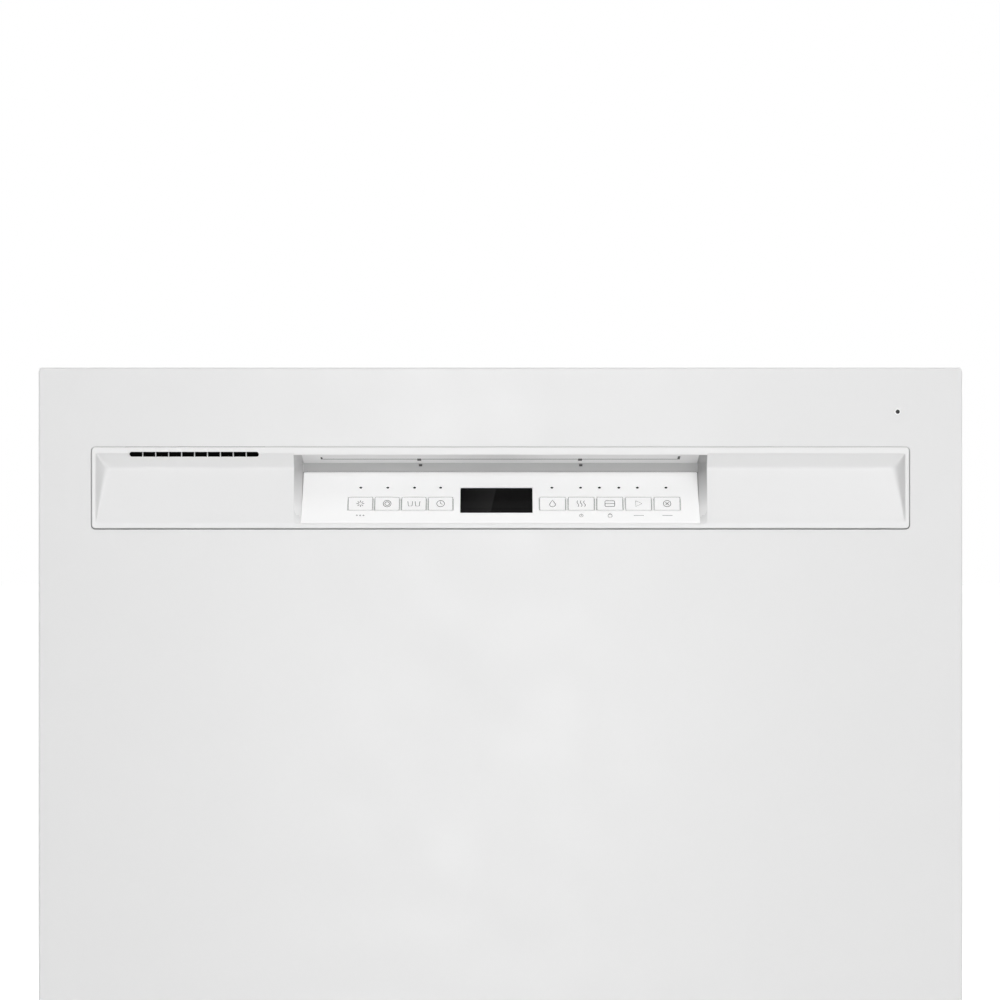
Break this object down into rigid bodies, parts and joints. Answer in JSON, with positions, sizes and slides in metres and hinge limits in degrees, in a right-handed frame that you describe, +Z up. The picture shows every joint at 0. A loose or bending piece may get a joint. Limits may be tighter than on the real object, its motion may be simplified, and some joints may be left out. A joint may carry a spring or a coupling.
{
  "type": "built-in dishwasher",
  "caption": "Under-counter dishwasher with a front-control pull-down door, pocket handle, wire racks, spray arms and levelling feet.",
  "frame": {"origin": "middle of the footprint, on the floor under the levelling feet", "axes": "+Z up, -Y is the door's front, +X to the right of someone facing the door"},
  "size_m": [0.606, 0.622, 0.87],
  "materials": {
    "door_paint": "semi-gloss white enamel on folded sheet",
    "console_moulding": "satin white moulded ABS",
    "faceplate": "satin white faceplate and keys",
    "display": "glossy black window",
    "status_lens": "dark lens",
    "stainless": "brushed stainless sheet",
    "zinc": "zinc-plated steel",
    "spring_steel": "drawn spring wire",
    "grey_plastic": "moulded grey polypropylene",
    "dark_plastic": "dark moulded plastic",
    "kick_paint": "black painted sheet",
    "rubber": "extruded grey-black seal",
    "felt": "dark sound-deadening felt",
    "circuit_board": "green circuit board",
    "nylon_wire": "nylon-coated steel wire"
  },
  "bodies": {
    "cabinet": {"tub": "stainless", "tub_gasket": "rubber", "insulation_wrap": "felt", "base_frame": "grey_plastic", "toe_kick_panel": "kick_paint", "door_strike": "zinc", "sump": "grey_plastic", "wash_pump_motor": "dark_plastic", "drain_pump": "dark_plastic", "heating_element": "stainless", "inlet_valve": "dark_plastic", "rear_feed_tube": "grey_plastic", "door_spring_left": "spring_steel", "door_spring_right": "spring_steel", "counter_bracket_left": "zinc", "counter_bracket_right": "zinc"},
    "door": {"door_outer_panel": "door_paint", "door_inner_panel": "stainless", "console_housing": "console_moulding", "control_faceplate": "faceplate", "display_window": "display", "control_board": "circuit_board", "status_light": "status_lens", "door_insulation": "felt", "door_latch": "dark_plastic", "dispenser_body": "grey_plastic", "door_vent": "grey_plastic", "lower_door_seal": "rubber", "hinge_arm_left": "zinc", "hinge_arm_right": "zinc"},
    "upper_rack_body": {"upper_rack": "nylon_wire", "spray_manifold": "grey_plastic"},
    "lower_rack_body": {"lower_rack": "nylon_wire"},
    "latch_bolt_body": {"latch_bolt": "grey_plastic"},
    "dispenser_lid_body": {"dispenser_lid": "grey_plastic"},
    "rinse_aid_cap_body": {"rinse_aid_cap": "dark_plastic"},
    "filter_cylinder_body": {"filter_cylinder": "grey_plastic"},
    "overfill_float_body": {"overfill_float": "grey_plastic"},
    "lower_spray_arm_body": {"lower_spray_arm": "grey_plastic"},
    "upper_spray_arm_body": {"upper_spray_arm": "grey_plastic"},
    "silverware_basket_body": {"silverware_basket": "grey_plastic"},
    "rack_rail_left_body": {"rack_rail_left": "stainless"},
    "rack_rail_right_body": {"rack_rail_right": "stainless"},
    "key_1_body": {"key_1": "faceplate"},
    "key_2_body": {"key_2": "faceplate"},
    "key_3_body": {"key_3": "faceplate"},
    "key_4_body": {"key_4": "faceplate"},
    "key_5_body": {"key_5": "faceplate"},
    "key_6_body": {"key_6": "faceplate"},
    "key_7_body": {"key_7": "faceplate"},
    "key_8_body": {"key_8": "faceplate"},
    "key_9_body": {"key_9": "faceplate"},
    "wheel_front_left_body": {"wheel_front_left": "grey_plastic"},
    "wheel_rear_left_body": {"wheel_rear_left": "grey_plastic"},
    "wheel_front_right_body": {"wheel_front_right": "grey_plastic"},
    "wheel_rear_right_body": {"wheel_rear_right": "grey_plastic"},
    "foot_front_left_body": {"foot_front_left": "grey_plastic"},
    "foot_rear_left_body": {"foot_rear_left": "grey_plastic"},
    "foot_front_right_body": {"foot_front_right": "grey_plastic"},
    "foot_rear_right_body": {"foot_rear_right": "grey_plastic"}
  },
  "joints": [
    {"name": "door_hinge", "type": "hinge", "parent": "cabinet", "child": "door", "pos_m": [0, -0.273, 0.165], "axis": [1, 0, 0], "range_deg": [0, 90], "stiffness_Nm_per_rad": 27, "deforming": ["door_spring_left", "door_spring_right"]},
    {"name": "upper_rack_slide", "type": "slide", "parent": "cabinet", "child": "upper_rack_body", "axis": [0, -1, 0], "range_m": [0, 0.4]},
    {"name": "rack_rail_left_slide", "type": "slide", "parent": "cabinet", "child": "rack_rail_left_body", "axis": [0, -1, 0], "range_m": [0, 0.2]},
    {"name": "rack_rail_right_slide", "type": "slide", "parent": "cabinet", "child": "rack_rail_right_body", "axis": [0, -1, 0], "range_m": [0, 0.2]},
    {"name": "lower_rack_slide", "type": "slide", "parent": "cabinet", "child": "lower_rack_body", "axis": [0, -1, 0], "range_m": [0, 0.087]},
    {"name": "wheel_front_left_spin", "type": "hinge", "parent": "lower_rack_body", "child": "wheel_front_left_body", "pos_m": [0, -0.184, 0.2093], "axis": [1, 0, 0], "range_deg": [0, 248]},
    {"name": "wheel_rear_left_spin", "type": "hinge", "parent": "lower_rack_body", "child": "wheel_rear_left_body", "pos_m": [0, 0.212, 0.2093], "axis": [1, 0, 0], "range_deg": [0, 248]},
    {"name": "wheel_front_right_spin", "type": "hinge", "parent": "lower_rack_body", "child": "wheel_front_right_body", "pos_m": [0, -0.184, 0.2093], "axis": [1, 0, 0], "range_deg": [0, 248]},
    {"name": "wheel_rear_right_spin", "type": "hinge", "parent": "lower_rack_body", "child": "wheel_rear_right_body", "pos_m": [0, 0.212, 0.2093], "axis": [1, 0, 0], "range_deg": [0, 248]},
    {"name": "silverware_basket_lift", "type": "slide", "parent": "lower_rack_body", "child": "silverware_basket_body", "axis": [0, 0, 1], "range_m": [0, 0.1]},
    {"name": "lower_spray_arm_spin", "type": "hinge", "parent": "cabinet", "child": "lower_spray_arm_body", "pos_m": [0, 0.02, 0.199], "axis": [0, 0, 1], "continuous": true},
    {"name": "upper_spray_arm_spin", "type": "hinge", "parent": "upper_rack_body", "child": "upper_spray_arm_body", "pos_m": [0, 0.02, 0.4939], "axis": [0, 0, 1], "continuous": true},
    {"name": "filter_twist", "type": "hinge", "parent": "cabinet", "child": "filter_cylinder_body", "pos_m": [0.047, 0.02, 0.15], "axis": [0, 0, 1], "range_deg": [0, 90]},
    {"name": "float_lift", "type": "slide", "parent": "cabinet", "child": "overfill_float_body", "axis": [0, 0, 1], "range_m": [0, 0.007]},
    {"name": "dispenser_lid_slide", "type": "slide", "parent": "door", "child": "dispenser_lid_body", "axis": [0, 0, -1], "range_m": [0, 0.05]},
    {"name": "rinse_aid_cap_twist", "type": "hinge", "parent": "door", "child": "rinse_aid_cap_body", "pos_m": [0.07, -0.26, 0.508], "axis": [0, 1, 0], "range_deg": [0, 90]},
    {"name": "latch_bolt_slide", "type": "slide", "parent": "door", "child": "latch_bolt_body", "axis": [-1, 0, 0], "range_m": [0, 0.004], "stiffness_N_per_m": 400},
    {"name": "key_1_press", "type": "slide", "parent": "door", "child": "key_1_body", "axis": [0, 0.8214, -0.5703], "range_m": [0, 0.0005], "stiffness_N_per_m": 2000},
    {"name": "key_2_press", "type": "slide", "parent": "door", "child": "key_2_body", "axis": [0, 0.8214, -0.5703], "range_m": [0, 0.0005], "stiffness_N_per_m": 2000},
    {"name": "key_3_press", "type": "slide", "parent": "door", "child": "key_3_body", "axis": [0, 0.8214, -0.5703], "range_m": [0, 0.0005], "stiffness_N_per_m": 2000},
    {"name": "key_4_press", "type": "slide", "parent": "door", "child": "key_4_body", "axis": [0, 0.8214, -0.5703], "range_m": [0, 0.0005], "stiffness_N_per_m": 2000},
    {"name": "key_5_press", "type": "slide", "parent": "door", "child": "key_5_body", "axis": [0, 0.8214, -0.5703], "range_m": [0, 0.0005], "stiffness_N_per_m": 2000},
    {"name": "key_6_press", "type": "slide", "parent": "door", "child": "key_6_body", "axis": [0, 0.8214, -0.5703], "range_m": [0, 0.0005], "stiffness_N_per_m": 2000},
    {"name": "key_7_press", "type": "slide", "parent": "door", "child": "key_7_body", "axis": [0, 0.8214, -0.5703], "range_m": [0, 0.0005], "stiffness_N_per_m": 2000},
    {"name": "key_8_press", "type": "slide", "parent": "door", "child": "key_8_body", "axis": [0, 0.8214, -0.5703], "range_m": [0, 0.0005], "stiffness_N_per_m": 2000},
    {"name": "key_9_press", "type": "slide", "parent": "door", "child": "key_9_body", "axis": [0, 0.8214, -0.5703], "range_m": [0, 0.0005], "stiffness_N_per_m": 2000},
    {"name": "foot_front_left_screw", "type": "slide", "parent": "cabinet", "child": "foot_front_left_body", "axis": [0, 0, -1], "range_m": [0, 0.025]},
    {"name": "foot_rear_left_screw", "type": "slide", "parent": "cabinet", "child": "foot_rear_left_body", "axis": [0, 0, -1], "range_m": [0, 0.025]},
    {"name": "foot_front_right_screw", "type": "slide", "parent": "cabinet", "child": "foot_front_right_body", "axis": [0, 0, -1], "range_m": [0, 0.025]},
    {"name": "foot_rear_right_screw", "type": "slide", "parent": "cabinet", "child": "foot_rear_right_body", "axis": [0, 0, -1], "range_m": [0, 0.025]}
  ],
  "couplings": [
    {"joint": "upper_rack_slide", "follows": "door_hinge", "m_per_rad": 0.2546},
    {"joint": "rack_rail_left_slide", "follows": "door_hinge", "m_per_rad": 0.1273},
    {"joint": "rack_rail_right_slide", "follows": "door_hinge", "m_per_rad": 0.1273},
    {"joint": "lower_rack_slide", "follows": "door_hinge", "m_per_rad": 0.055},
    {"joint": "wheel_front_left_spin", "follows": "door_hinge", "ratio": 2.75},
    {"joint": "wheel_rear_left_spin", "follows": "door_hinge", "ratio": 2.75},
    {"joint": "wheel_front_right_spin", "follows": "door_hinge", "ratio": 2.75},
    {"joint": "wheel_rear_right_spin", "follows": "door_hinge", "ratio": 2.75}
  ]
}
